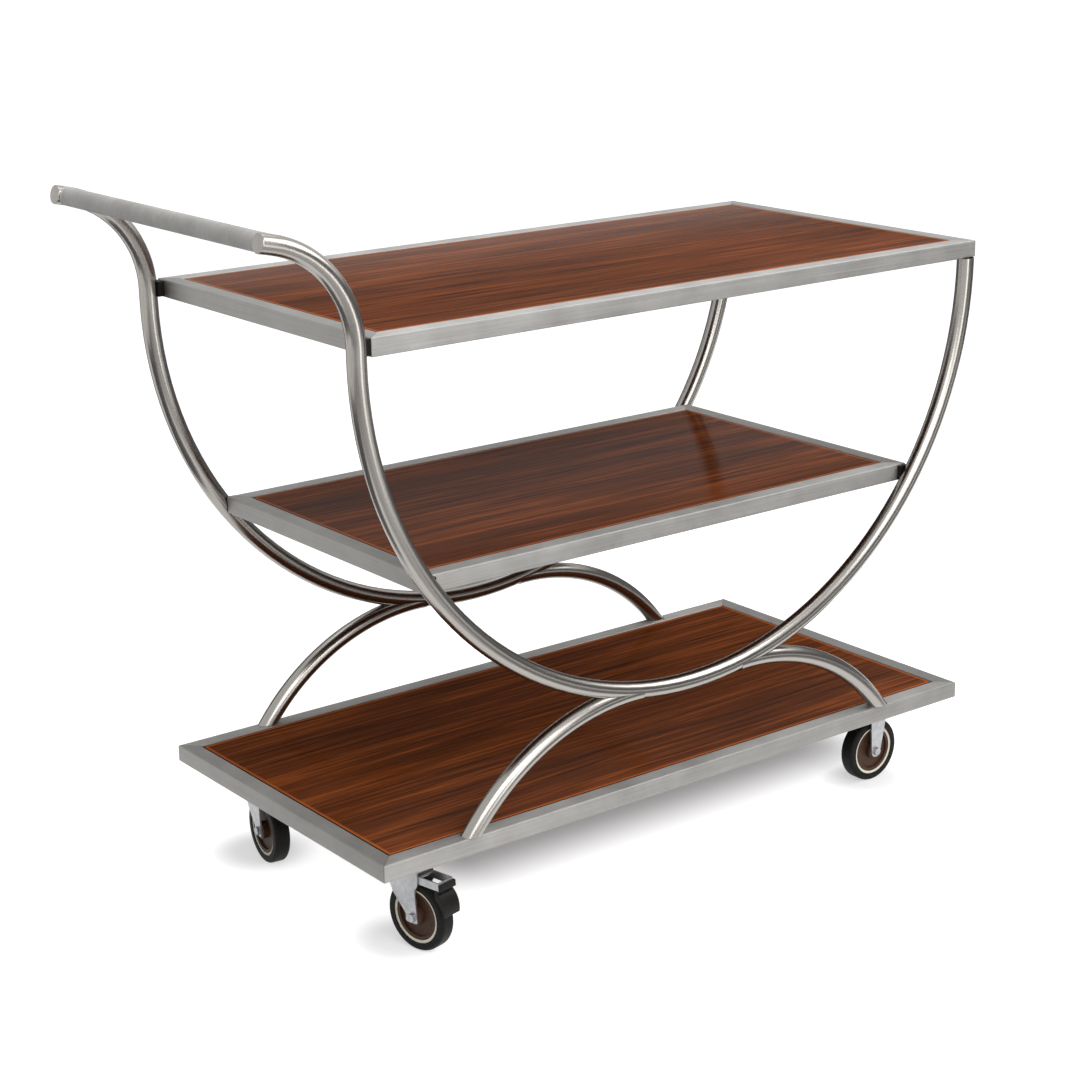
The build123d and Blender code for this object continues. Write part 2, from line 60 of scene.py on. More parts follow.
# %% Weld the seams and smooth the shading
WELD_DISTANCE = 0.00001
SHARP_ANGLE = radians(30)

smoother = bpy.data.node_groups.new("weld and smooth", "GeometryNodeTree")
smoother.interface.new_socket("Geometry", in_out="INPUT", socket_type="NodeSocketGeometry")
smoother.interface.new_socket("Geometry", in_out="OUTPUT", socket_type="NodeSocketGeometry")
arriving = smoother.nodes.new("NodeGroupInput")
weld = smoother.nodes.new("GeometryNodeMergeByDistance")
weld.inputs["Distance"].default_value = WELD_DISTANCE
round_faces = smoother.nodes.new("GeometryNodeSetShadeSmooth")
edge_angle = smoother.nodes.new("GeometryNodeInputMeshEdgeAngle")
sharper = smoother.nodes.new("FunctionNodeCompare")
sharper.operation = "GREATER_THAN"
sharper.inputs["B"].default_value = SHARP_ANGLE
sharp_edges = smoother.nodes.new("GeometryNodeSetShadeSmooth")
sharp_edges.domain = "EDGE"
sharp_edges.inputs["Shade Smooth"].default_value = False
leaving = smoother.nodes.new("NodeGroupOutput")
smoother.links.new(arriving.outputs["Geometry"], weld.inputs["Geometry"])
smoother.links.new(weld.outputs["Geometry"], round_faces.inputs["Geometry"])
smoother.links.new(round_faces.outputs["Geometry"], sharp_edges.inputs["Geometry"])
smoother.links.new(edge_angle.outputs["Unsigned Angle"], sharper.inputs["A"])
smoother.links.new(sharper.outputs["Result"], sharp_edges.inputs["Selection"])
smoother.links.new(sharp_edges.outputs["Geometry"], leaving.inputs["Geometry"])

for piece in nodes.values():
    piece.data.attributes.remove(piece.data.attributes["custom_normal"])
    piece.modifiers.new("weld and smooth", "NODES").node_group = smoother
print("welded and smoothed", len(nodes), "pieces")

# %% [markdown]
# ## Helpers for shader nodes
#
# A finish is a small tree of nodes. Written out one by one they fill pages, so these helpers add a node with its
# settings, link a socket or set it, and do one sum on values or on vectors.

# %% Nodes and sums
NODE_STEP = 190


def add_node(tree, kind, **settings):
    """A node of one kind, with its properties set, placed to the right of the last."""
    node = tree.nodes.new(kind)
    node.location = (NODE_STEP * len(tree.nodes), 0)
    for key, value in settings.items():
        setattr(node, key, value)
    return node


def put(tree, value, socket):
    """Feed a socket from another socket, or set it to a plain value."""
    if isinstance(value, bpy.types.NodeSocket):
        tree.links.new(value, socket)
    else:
        socket.default_value = value


def maths(tree, operation, first, second=0.0, third=0.0):
    """One sum on values, returned as a socket."""
    node = add_node(tree, "ShaderNodeMath", operation=operation)
    for value, socket in zip((first, second, third), node.inputs):
        put(tree, value, socket)
    return node.outputs[0]


def vectors(tree, operation, first, second=(0, 0, 0)):
    """One sum on vectors, returned as a socket."""
    node = add_node(tree, "ShaderNodeVectorMath", operation=operation)
    put(tree, first, node.inputs[0])
    put(tree, second, node.inputs[1])
    return node.outputs["Value" if operation == "LENGTH" else "Vector"]


print("helpers for nodes and sums ready")

# %% [markdown]
# ## Patterns
#
# Nearly every mark on the cart is noise: random values that change softly from place to place. Most of them lie near
# a half, so a helper spreads the middle of their range to a full mask, and another weighs two masks together.

# %% Noise, ranges and masks
NOISE_LOW = 0.3
NOISE_HIGH = 0.7


def noise(tree, place, detail=3.0, roughness=0.55):
    """Soft random values around a half, one bump for each unit of the coordinates."""
    node = add_node(tree, "ShaderNodeTexNoise")
    put(tree, place, node.inputs["Vector"])
    node.inputs["Scale"].default_value = 1.0
    node.inputs["Detail"].default_value = detail
    node.inputs["Roughness"].default_value = roughness
    return node.outputs[0]


def ranged(tree, value, low, high, to_low=0.0, to_high=1.0, slope="LINEAR"):
    """A value moved from one range to another and held inside it, straight or with soft ends."""
    node = add_node(tree, "ShaderNodeMapRange", interpolation_type=slope)
    levels = {"Value": value, "From Min": low, "From Max": high, "To Min": to_low, "To Max": to_high}
    for key, level in levels.items():
        put(tree, level, node.inputs[key])
    return node.outputs["Result"]


def spread(tree, pattern):
    """Noise spread to a mask from nought to one."""
    return ranged(tree, pattern, NOISE_LOW, NOISE_HIGH)


def weighed(tree, first, share, second):
    """Two masks added: a share of the first, and the rest from the second."""
    rest = maths(tree, "MULTIPLY", second, 1 - share)
    return maths(tree, "MULTIPLY_ADD", first, share, rest)


print("helpers for patterns ready")

# %% [markdown]
# ## Node groups
#
# An effect that several finishes share is built once, as a node group. Its named inputs can be set anew in each
# material that uses it, so one group serves rails, tubes and bolts alike.

# %% Starting and placing a group
def start_group(name, inputs, outputs):
    """A new node group with its sockets, returned with its inputs and outputs by name."""
    tree = bpy.data.node_groups.new(name, "ShaderNodeTree")
    for label, value in inputs.items():
        kind = "NodeSocketFloat" if isinstance(value, float) else "NodeSocketVector"
        tree.interface.new_socket(label, in_out="INPUT", socket_type=kind).default_value = value
    for label, kind in outputs.items():
        tree.interface.new_socket(label, in_out="OUTPUT", socket_type=f"NodeSocket{kind}")
    return tree, add_node(tree, "NodeGroupInput").outputs, add_node(tree, "NodeGroupOutput").inputs


def placed(tree, group, **values):
    """A group placed in a material, with its inputs set by name (an underscore stands for a space)."""
    node = add_node(tree, "ShaderNodeGroup", node_tree=group)
    for key, value in values.items():
        put(tree, value, node.inputs[key.replace("_", " ")])
    return node.outputs


print("helpers for node groups ready")

# %% [markdown]
# ## Brushed lines and handling marks
#
# Steel that has been drawn through an abrasive belt shows fine lines along its length, and hands leave faint dull
# clouds. Both are noise: one pattern stretched along the metal, one left round. As a group, every steel finish can
# use them with its own direction and fineness.

# %% The group for brushed lines
CLOUDS_PER_METRE = 14

lines_group, given, made = start_group(
    "brushed lines",
    {"Place": (0, 0, 0), "Stretch": (4, 900, 900)},
    {"Lines": "Float", "Clouds": "Float"},
)
stretched = vectors(lines_group, "MULTIPLY", given["Place"], given["Stretch"])
drawn = noise(lines_group, stretched, detail=4.0, roughness=0.65)
put(lines_group, spread(lines_group, drawn), made["Lines"])
wide = vectors(lines_group, "MULTIPLY", given["Place"], (CLOUDS_PER_METRE,) * 3)
cloud = noise(lines_group, wide, detail=4.0, roughness=0.6)
put(lines_group, spread(lines_group, cloud), made["Clouds"])
print("group", lines_group.name)

# %% [markdown]
# ## Mitred corners
#
# The rails of a frame meet at 45 degrees. On the real frame a hairline shows there, because the brushed lines of the
# two rails run different ways and the weld is ground flush. A point lies on the mitre where its distances from the
# two outer edges are the same, so the mask needs only the frame's centre and half sizes. The same distances also tell
# how far a point on a board is from its edge.

# %% The group for frame edges
def split(tree, place):
    """The x, y and z of a vector, as three sockets."""
    node = add_node(tree, "ShaderNodeSeparateXYZ")
    put(tree, place, node.inputs[0])
    return node.outputs["X"], node.outputs["Y"], node.outputs["Z"]


edges_group, given, made = start_group(
    "frame edges",
    {"Place": (0, 0, 0), "Centre": 0.0, "Half length": 0.5, "Half width": 0.25, "Seam width": 0.001},
    {"Seam": "Float", "From edge": "Float"},
)
along, across, _ = split(edges_group, given["Place"])
off_centre = maths(edges_group, "ABSOLUTE", maths(edges_group, "SUBTRACT", along, given["Centre"]))
from_end = maths(edges_group, "SUBTRACT", given["Half length"], off_centre)
from_side = maths(edges_group, "SUBTRACT", given["Half width"], maths(edges_group, "ABSOLUTE", across))
apart = maths(edges_group, "ABSOLUTE", maths(edges_group, "SUBTRACT", from_end, from_side))
put(edges_group, ranged(edges_group, apart, 0.0, given["Seam width"], 1.0, 0.0), made["Seam"])
put(edges_group, maths(edges_group, "MINIMUM", from_end, from_side), made["From edge"])
print("group", edges_group.name)

# %% [markdown]
# ## Helpers for materials
#
# Every finish on the cart is one Principled shader, whose colour, roughness and fine relief follow the masks. A value
# that is the same all over a piece is set on the shader's own socket.

# %% Starting a material and dressing pieces
finished = set()


def rgb(red, green, blue):
    """A colour as it looks on screen, 0 to 255, turned by the sRGB curve into the linear values that shaders use."""
    shares = [level / 255 for level in (red, green, blue)]
    return (*(s / 12.92 if s <= 0.04045 else ((s + 0.055) / 1.055) ** 2.4 for s in shares), 1.0)


def start_material(name, metallic=0.0, **constants):
    """A material with a Principled shader, returned with its tree, the shader's inputs and the object coordinates."""
    material = bpy.data.materials.new(name)
    material.use_nodes = True
    tree = material.node_tree
    tree.nodes.clear()
    shader = add_node(tree, "ShaderNodeBsdfPrincipled")
    shader.inputs["Metallic"].default_value = metallic
    for key, value in constants.items():
        shader.inputs[key.replace("_", " ")].default_value = value
    output = add_node(tree, "ShaderNodeOutputMaterial")
    tree.links.new(shader.outputs["BSDF"], output.inputs["Surface"])
    return material, tree, shader.inputs, add_node(tree, "ShaderNodeTexCoord").outputs["Object"]


def mixed(tree, factor, first, second):
    """Two colours mixed by a factor. A Mix node has its colours on inputs 6 and 7 and on output 2."""
    node = add_node(tree, "ShaderNodeMix", data_type="RGBA")
    put(tree, factor, node.inputs[0])
    put(tree, first, node.inputs[6])
    put(tree, second, node.inputs[7])
    return node.outputs[2]


def dulled(tree, roughness, *marks):
    """A roughness that grows where marks lie, each given as its mask and an amount."""
    for mask, amount in marks:
        roughness = maths(tree, "MULTIPLY_ADD", mask, amount, roughness)
    return roughness


def relief(tree, height, distance, strength):
    """The normal of a surface with fine relief: how high it stands in metres, and how much of it shows."""
    node = add_node(tree, "ShaderNodeBump")
    node.inputs["Strength"].default_value = strength
    node.inputs["Distance"].default_value = distance
    put(tree, height, node.inputs["Height"])
    return node.outputs["Normal"]


def dress(material, *names):
    """Give solid pieces a material."""
    for name in names:
        nodes[name].data.materials.clear()
        nodes[name].data.materials.append(material)
    finished.update(names)
    print(material.name, "on", len(names), "pieces")


print("helpers for materials ready")

# %% [markdown]
# ## Shelf frames
#
# The frames are square steel tube with a satin brushed face. Each shelf has its own seam places, and the rails along
# the cart are brushed another way than the rails across it, so a short function makes either finish for a shelf.

# %% The brushed rails
SHELVES = ("top", "middle", "bottom")
STEEL_LIGHT = rgb(183, 181, 178)
STEEL_DARK = rgb(141, 139, 136)
SEAM_COLOUR = rgb(96, 96, 98)
SEAM_WIDTH = 0.0011
RAIL_METAL = 0.8
RAIL_ANISOTROPY = 0.7
RAIL_AXIS = {"along": "X", "across": "Y"}
RAIL_STRETCH = {"along": (5, 1000, 1000), "across": (1000, 5, 1000)}
RAIL_CLOUD_SHARE = 0.45
RAIL_ROUGHNESS = 0.44
RAIL_DULLING = 0.10
RAIL_RELIEF = (0.00015, 0.5)


def plan_of(name):
    """Centre along the cart, half length and half width of a piece."""
    low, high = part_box(name)
    return {"Centre": (low.x + high.x) / 2, "Half_length": (high.x - low.x) / 2, "Half_width": high.y}


def rail_finish(shelf, run):
    """Brushed steel for the rails of a shelf whose lines run along or across the cart."""
    material, tree, shader, place = start_material(
        f"brushed_{shelf}_{run}", metallic=RAIL_METAL, Anisotropic=RAIL_ANISOTROPY
    )
    brushed = placed(tree, lines_group, Place=place, Stretch=RAIL_STRETCH[run])
    corner = placed(tree, edges_group, Place=place, Seam_width=SEAM_WIDTH, **plan_of(f"{shelf}_left_rail"))
    worn = weighed(tree, brushed["Clouds"], RAIL_CLOUD_SHARE, brushed["Lines"])
    steel = mixed(tree, worn, STEEL_DARK, STEEL_LIGHT)
    put(tree, mixed(tree, corner["Seam"], steel, SEAM_COLOUR), shader["Base Color"])
    marks = [(brushed["Lines"], RAIL_DULLING), (brushed["Clouds"], RAIL_DULLING)]
    put(tree, dulled(tree, RAIL_ROUGHNESS, *marks), shader["Roughness"])
    put(tree, relief(tree, brushed["Lines"], *RAIL_RELIEF), shader["Normal"])
    round_rail = add_node(tree, "ShaderNodeTangent", direction_type="RADIAL", axis=RAIL_AXIS[run])
    put(tree, round_rail.outputs["Tangent"], shader["Tangent"])
    return material


for shelf in SHELVES:
    dress(rail_finish(shelf, "along"), f"{shelf}_left_rail", f"{shelf}_right_rail", f"{shelf}_board_ledges")
    dress(rail_finish(shelf, "across"), f"{shelf}_front_rail", f"{shelf}_rear_rail")

# %% [markdown]
# ## Bends of the tubes
#
# The side tubes are bowed in half circles, and the legs are arcs that touch them from outside. Draw lines and welds
# follow these bends, so the centres of the arcs come first, from the boxes of the tubes and the radii of the bends.

# %% Centres of the arcs
TUBE_RADIUS = 0.0127
BOW_RADIUS = 0.538
LEG_RADIUS = 0.346
LEG_LEAN = radians(7)

tube_low, tube_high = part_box("right_side_tube")
bow_centre = Vector((tube_high.x - TUBE_RADIUS - BOW_RADIUS, 0, tube_low.z + TUBE_RADIUS + BOW_RADIUS))


def leg_centre(end):
    """Centre of the arc of the front or rear legs, which touches the bow from outside."""
    lean = LEG_LEAN if end == "front" else -LEG_LEAN
    return bow_centre + (BOW_RADIUS + LEG_RADIUS) * Vector((sin(lean), 0, -cos(lean)))


print("centre of the bows", tuple(round(v, 4) for v in bow_centre))

# %% [markdown]
# ## Polished tubes
#
# The bowed tubes and the legs are polished, so their look is mostly what they mirror: bright lamps, a pale floor and
# the darker room between. The finish itself needs a low roughness with faint clouds, and draw lines that follow the
# bend. Lines along a bow are circles about its centre, so their pattern is laid on the distance from that centre.

# %% The polished steel
TUBE_LIGHT = rgb(168, 164, 159)
TUBE_DARK = rgb(146, 142, 136)
TUBE_STRETCH = (900, 900, 1)
SCUFF_STRETCH = (70, 70, 70)
TUBE_ROUGHNESS = 0.17
SCUFF_DULLING = 0.03
HAND_DULLING = 0.06
TUBE_RELIEF = (0.00003, 0.15)


def joined(tree, x, y, z):
    """A vector from three values."""
    node = add_node(tree, "ShaderNodeCombineXYZ")
    for value, socket in zip((x, y, z), node.inputs):
        put(tree, value, socket)
    return node.outputs[0]


def named(*endings):
    """Names of the solid pieces that end in one of the words."""
    return [name for name in nodes if name.endswith(endings)]


def polished_finish(name, centre):
    """Polished steel with draw lines round a centre."""
    material, tree, shader, place = start_material(name, metallic=1.0)
    spoke = vectors(tree, "MULTIPLY", vectors(tree, "SUBTRACT", place, tuple(centre)), (1, 0, 1))
    _, across, _ = split(tree, place)
    laid = joined(tree, vectors(tree, "LENGTH", spoke), across, 0.0)
    drawn = placed(tree, lines_group, Place=laid, Stretch=TUBE_STRETCH)
    scuffs = placed(tree, lines_group, Place=place, Stretch=SCUFF_STRETCH)
    put(tree, mixed(tree, drawn["Lines"], TUBE_DARK, TUBE_LIGHT), shader["Base Color"])
    marks = [(scuffs["Lines"], SCUFF_DULLING), (scuffs["Clouds"], HAND_DULLING)]
    put(tree, dulled(tree, TUBE_ROUGHNESS, *marks), shader["Roughness"])
    put(tree, relief(tree, drawn["Lines"], *TUBE_RELIEF), shader["Normal"])
    return material


polished_bows = polished_finish("polished_bows", bow_centre)
dress(polished_bows, "right_side_tube", "left_side_tube", "handle_end_caps")
for end in ("front", "rear"):
    legs = [name for name in named("_leg") if name.startswith(end)]
    dress(polished_finish(f"polished_{end}_legs", leg_centre(end)), *legs)

# %% [markdown]
# ## Push bar
#
# The bar that the hands hold is left matt: it is ground round and round, and not polished afterwards. It has the
# same lines group with the lines going round the bar, and a higher roughness. Ground steel scatters most of the light,
# so the shader is only a little metallic.

# %% The satin bar
SATIN_LIGHT = rgb(213, 211, 208)
SATIN_DARK = rgb(154, 152, 149)
SATIN_METAL = 0.1
SATIN_STRETCH = (60, 1400, 60)
SATIN_CLOUD_SHARE = 0.5
SATIN_ROUGHNESS = 0.58
SATIN_DULLING = 0.1
SATIN_RELIEF = (0.00005, 0.2)

satin, tree, shader, place = start_material("satin_push_bar", metallic=SATIN_METAL)
ground = placed(tree, lines_group, Place=place, Stretch=SATIN_STRETCH)
rubbed = weighed(tree, ground["Clouds"], SATIN_CLOUD_SHARE, ground["Lines"])
put(tree, mixed(tree, rubbed, SATIN_DARK, SATIN_LIGHT), shader["Base Color"])
put(tree, dulled(tree, SATIN_ROUGHNESS, (ground["Clouds"], SATIN_DULLING)), shader["Roughness"])
put(tree, relief(tree, ground["Lines"], *SATIN_RELIEF), shader["Normal"])
dress(satin, "push_bar")

# %% [markdown]
# ## Wood grain
#
# The boards are faced with a dark red-brown wood-grain laminate. Such grain is made of layers: broad zones of
# lighter and darker wood, narrow streaks that wander a little along the board, thin nearly black lines, and hair-fine
# fibres. Every layer is noise stretched along the board, with the side coordinate bent first by a slow wave.

# %% The group for wood grain
WAVE_STRETCH = (2.2, 5.0, 1.0)
WAVE_BEND = 0.018
ZONE_SHARE = 0.35
TONE_LOW = 0.26
TONE_HIGH = 0.74
VEIN_LOW = 0.33
VEIN_HIGH = 0.43

grain_group, given, made = start_group(
    "wood grain",
    {"Place": (0, 0, 0), "Shift": (0, 0, 0)},
    {"Tone": "Float", "Veins": "Float", "Fibres": "Float"},
)
spot = vectors(grain_group, "ADD", given["Place"], given["Shift"])
wave = noise(grain_group, vectors(grain_group, "MULTIPLY", spot, WAVE_STRETCH), detail=2.0)
x, y, z = split(grain_group, spot)
bent = joined(grain_group, x, maths(grain_group, "MULTIPLY_ADD", wave, WAVE_BEND, y), z)


def grain_layer(stretch, detail=2.0, roughness=0.5):
    """One layer of the grain, drawn out along the board."""
    return noise(grain_group, vectors(grain_group, "MULTIPLY", bent, stretch), detail, roughness)


zones = grain_layer(stretch=(2.0, 22, 1))
streaks = grain_layer(stretch=(4.2, 130, 1), detail=4.0, roughness=0.66)
veins = grain_layer(stretch=(4.0, 210, 1))
fibres = grain_layer(stretch=(11, 1100, 1))
tone = weighed(grain_group, zones, ZONE_SHARE, streaks)
put(grain_group, ranged(grain_group, tone, TONE_LOW, TONE_HIGH), made["Tone"])
put(grain_group, ranged(grain_group, veins, VEIN_LOW, VEIN_HIGH, 1.0, 0.0), made["Veins"])
put(grain_group, spread(grain_group, fibres), made["Fibres"])
print("group", grain_group.name)

# %% [markdown]
# ## Boards
#
# Each board gets its own stretch of the grain, so that the three don't repeat. Along the rim of a board runs a lighter
# band, where the facing is lipped and its rounded edge carries a painted highlight, and outside it a dark line of
# painted shade in the gap to the frame. The lacquer is smooth but not mirror-like, so the shader has a low specular
# level and a roughness that the fibres only just change.

# %% The board laminate
WOOD_DEEP = rgb(50, 27, 14)
WOOD_BODY = rgb(112, 58, 28)
WOOD_WARM = rgb(182, 96, 42)
WOOD_VEIN = rgb(30, 16, 9)
VEIN_SHARE = 0.6
FIBRE_SHARE = 0.22
TONE_MIDDLE = 0.5
# Lighter rim band: lipping colour with a painted highlight of the rounded edge.
LIPPING_AND_HIGHLIGHT = rgb(196, 104, 50)
LIPPING_HIGHLIGHT_WIDTH = 0.0075
LIPPING_HIGHLIGHT_SHARE = 0.7
LIPPING_HIGHLIGHT_FADE = 0.6 * LIPPING_HIGHLIGHT_WIDTH
# Dark line outside the band: painted shade in the gap to the frame.
GAP_SHADE = rgb(38, 24, 16)
GAP_SHADE_WIDTH = 0.0022
GAP_SHADE_FADE = 0.7 * GAP_SHADE_WIDTH
LACQUER_SHINE = 0.006
LACQUER_ROUGHNESS = 0.09
FIBRE_DULLING = 0.05
FIBRE_RELIEF = (0.00005, 0.3)
GRAIN_SHIFTS = {"top": (0.31, 1.7, 0.0), "middle": (5.2, 3.9, 0.0), "bottom": (9.4, 6.3, 0.0)}


def board_finish(shelf):
    """Lacquered wood grain for the board of a shelf, with its lighter rim of lipping and painted edge highlight, and
    painted gap shade.
    """
    material, tree, shader, place = start_material(f"laminate_{shelf}", Specular_IOR_Level=LACQUER_SHINE)
    grain = placed(tree, grain_group, Place=place, Shift=GRAIN_SHIFTS[shelf])
    rim = placed(tree, edges_group, Place=place, **plan_of(f"{shelf}_board"))
    lower = mixed(tree, ranged(tree, grain["Tone"], 0.0, TONE_MIDDLE), WOOD_DEEP, WOOD_BODY)
    wood = mixed(tree, ranged(tree, grain["Tone"], TONE_MIDDLE, 1.0), lower, WOOD_WARM)
    veined = mixed(tree, maths(tree, "MULTIPLY", grain["Veins"], VEIN_SHARE), wood, WOOD_VEIN)
    fibred = mixed(tree, maths(tree, "MULTIPLY", grain["Fibres"], FIBRE_SHARE), veined, WOOD_DEEP)
    # The rim band is lipping with its painted edge highlight; outside it lies the painted gap shade.
    lipping_and_highlight = ranged(tree, rim["From edge"], LIPPING_HIGHLIGHT_FADE, LIPPING_HIGHLIGHT_WIDTH, LIPPING_HIGHLIGHT_SHARE, 0.0)
    in_gap_shade = ranged(tree, rim["From edge"], GAP_SHADE_FADE, GAP_SHADE_WIDTH, 1.0, 0.0)
    rimmed = mixed(tree, lipping_and_highlight, fibred, LIPPING_AND_HIGHLIGHT)
    put(tree, mixed(tree, in_gap_shade, rimmed, GAP_SHADE), shader["Base Color"])
    put(tree, dulled(tree, LACQUER_ROUGHNESS, (grain["Fibres"], FIBRE_DULLING)), shader["Roughness"])
    put(tree, relief(tree, grain["Fibres"], *FIBRE_RELIEF), shader["Normal"])
    return material


for shelf in SHELVES:
    dress(board_finish(shelf), f"{shelf}_board")

# %% [markdown]
# ## Moulded plastic and rubber
#
# Tyres, liners, wheel cores, spacers and the brake pedal are moulded. A moulded skin has a fine speckle from the tool
# and a slow mottle in its tone and gloss, and it picks up pale dust. One group gives all three masks.

# %% The group for moulded skins
MOTTLES_PER_METRE = 60
SPECKS_PER_METRE = 150
DUST_LOW = 0.52
DUST_HIGH = 0.75

skin_group, given, made = start_group(
    "moulded skin",
    {"Place": (0, 0, 0), "Speckle size": 0.0006},
    {"Speckle": "Float", "Mottle": "Float", "Dust": "Float"},
)
grainy = vectors(skin_group, "DIVIDE", given["Place"], given["Speckle size"])
put(skin_group, spread(skin_group, noise(skin_group, grainy, detail=2.0)), made["Speckle"])
slow = vectors(skin_group, "MULTIPLY", given["Place"], (MOTTLES_PER_METRE,) * 3)
mottle = noise(skin_group, slow, detail=4.0, roughness=0.6)
put(skin_group, spread(skin_group, mottle), made["Mottle"])
specked = vectors(skin_group, "MULTIPLY", given["Place"], (SPECKS_PER_METRE,) * 3)
dust = noise(skin_group, specked, detail=5.0, roughness=0.7)
put(skin_group, ranged(skin_group, dust, DUST_LOW, DUST_HIGH), made["Dust"])
print("group", skin_group.name)

# %% [markdown]
# ## Wheels, pedal and spacers
#
# The tyre is black rubber, the ring between tyre and core is cream plastic, the core is a brown moulding, and pedal and
# spacers are black. They share the moulded skin, so one function makes them all from two tones of a colour, a
# roughness, a share of dust, the speckle and the shine.

# %% The moulded materials
DUST_COLOUR = rgb(150, 144, 134)
MOTTLE_DULLING = 0.12
SPECKLE_STRENGTH = 0.5


def moulded_finish(name, light, dark, roughness, dust, speckle_size, speckle_depth, shine):
    """A moulded skin between two tones of a colour, with a share of dust on it."""
    material, tree, shader, place = start_material(name, Specular_IOR_Level=shine)
    skin = placed(tree, skin_group, Place=place, Speckle_size=speckle_size)
    plain = mixed(tree, skin["Mottle"], dark, light)
    dusted = maths(tree, "MULTIPLY", skin["Dust"], dust)
    put(tree, mixed(tree, dusted, plain, DUST_COLOUR), shader["Base Color"])
    put(tree, dulled(tree, roughness, (skin["Mottle"], MOTTLE_DULLING)), shader["Roughness"])
    put(tree, relief(tree, skin["Speckle"], speckle_depth, SPECKLE_STRENGTH), shader["Normal"])
    return material


rubber = moulded_finish(
    "tyre_rubber", light=rgb(21, 19, 18), dark=rgb(13, 12, 11),
    roughness=0.5, dust=0.04, speckle_size=0.0007, speckle_depth=0.0001, shine=0.15,
)
cream = moulded_finish(
    "cream_liner", light=rgb(252, 247, 230), dark=rgb(246, 239, 218),
    roughness=0.42, dust=0.02, speckle_size=0.0009, speckle_depth=0.00005, shine=0.4,
)
brown = moulded_finish(
    "brown_core", light=rgb(86, 59, 43), dark=rgb(60, 40, 28),
    roughness=0.4, dust=0.06, speckle_size=0.0008, speckle_depth=0.00008, shine=0.2,
)
black = moulded_finish(
    "black_moulding", light=rgb(24, 21, 18), dark=rgb(13, 11, 10),
    roughness=0.4, dust=0.02, speckle_size=0.0006, speckle_depth=0.00008, shine=0.15,
)
dress(rubber, *named("_tyre"))
dress(cream, *named("_wheel_liner"))
dress(brown, *named("_wheel_core"))
dress(black, *named("_spacers", "_brake_pedal"))

# %% [markdown]
# ## Zinc-plated steel
#
# Forks, top plates, bolts and pins are pressed or turned steel with a bright zinc plating. Zinc is a little bluer and
# duller than stainless steel, and its crystals give a faint patchy sheen, here from a cell pattern. The lighter
# patches are also the glossier ones, so they take some of the roughness away.

# %% The zinc plating
ZINC_LIGHT = rgb(190, 190, 191)
ZINC_DARK = rgb(150, 151, 153)
ZINC_METAL = 0.85
ZINC_STRETCH = (300, 300, 300)
CRYSTALS_PER_METRE = 260.0
CRYSTAL_SHARE = 0.35
ZINC_ROUGHNESS = 0.42
ZINC_DULLING = -0.12
ZINC_RELIEF = (0.00004, 0.4)

zinc, tree, shader, place = start_material("zinc_plating", metallic=ZINC_METAL)
crystals = add_node(tree, "ShaderNodeTexVoronoi")
put(tree, place, crystals.inputs["Vector"])
crystals.inputs["Scale"].default_value = CRYSTALS_PER_METRE
crystal_tone, _, _ = split(tree, crystals.outputs["Color"])
worn = placed(tree, lines_group, Place=place, Stretch=ZINC_STRETCH)
patchy = weighed(tree, crystal_tone, CRYSTAL_SHARE, worn["Clouds"])
put(tree, mixed(tree, patchy, ZINC_DARK, ZINC_LIGHT), shader["Base Color"])
put(tree, dulled(tree, ZINC_ROUGHNESS, (patchy, ZINC_DULLING)), shader["Roughness"])
put(tree, relief(tree, worn["Lines"], *ZINC_RELIEF), shader["Normal"])
dress(
    zinc,
    *named("_fork", "_top_plate", "_kingpin", "_axle_bolt", "_axle_bolts", "_sleeve", "_sleeves", "_bolts"),
    *named("_races", "_corner_plates", "_brake_pin", "_brake_lever"),
)
print("pieces still without a finish:", sorted(set(nodes) - finished))

# %% [markdown]
# ## Mesh helpers
#
# The fixings that CAD leaves out are built as meshes, from rings of points with faces between them. The helpers close
# such rings to a skin, and finish a mesh as a piece that rides on a body of the cart.

# %% Skins and pieces
def turns_of(count):
    """The angles of one full turn in equal steps."""
    return [2 * pi * step / count for step in range(count)]


def add_skin(mesh, rings):
    """Faces between rings of points that follow each other, with the first and the last ring closed."""
    for first, second in zip(rings, rings[1:]):
        for step in range(len(first)):
            follow = (step + 1) % len(first)
            mesh.faces.new((first[step], first[follow], second[follow], second[step]))
    mesh.faces.new(rings[0])
    mesh.faces.new(list(reversed(rings[-1])))


def finish_piece(name, mesh, material, body):
    """Make an object from a built mesh, dress it and let it ride on a body."""
    data = bpy.data.meshes.new(name)
    bmesh.ops.recalc_face_normals(mesh, faces=mesh.faces)
    mesh.to_mesh(data)
    mesh.free()
    piece = bpy.data.objects.new(name, data)
    bpy.context.scene.collection.objects.link(piece)
    data.materials.append(material)
    data.shade_smooth()
    data.set_sharp_from_angle(angle=SHARP_ANGLE)
    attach(piece, body)


print("mesh helpers ready")

# %% [markdown]
# ## Board screws
#
# Each board is held by button-head screws that come up through its ledges from below. A screw head is a profile turned
# round an axis, with a six-sided socket. Four sit under each ledge, spread evenly.

# %% The screw heads
SCREW_RADIUS = 0.0045
SCREW_HEIGHT = 0.0024
SCREW_PROFILE = ((1.0, 0.0), (1.0, 0.25), (0.86, 0.7), (0.62, 1.0))  # shares of the radius and of the height
SOCKET_FLATS = 0.003
SOCKET_DEPTH = 0.0014
SCREW_SIDES = 24
SCREWS_PER_LEDGE = 4
LEDGE_INSET = 0.009


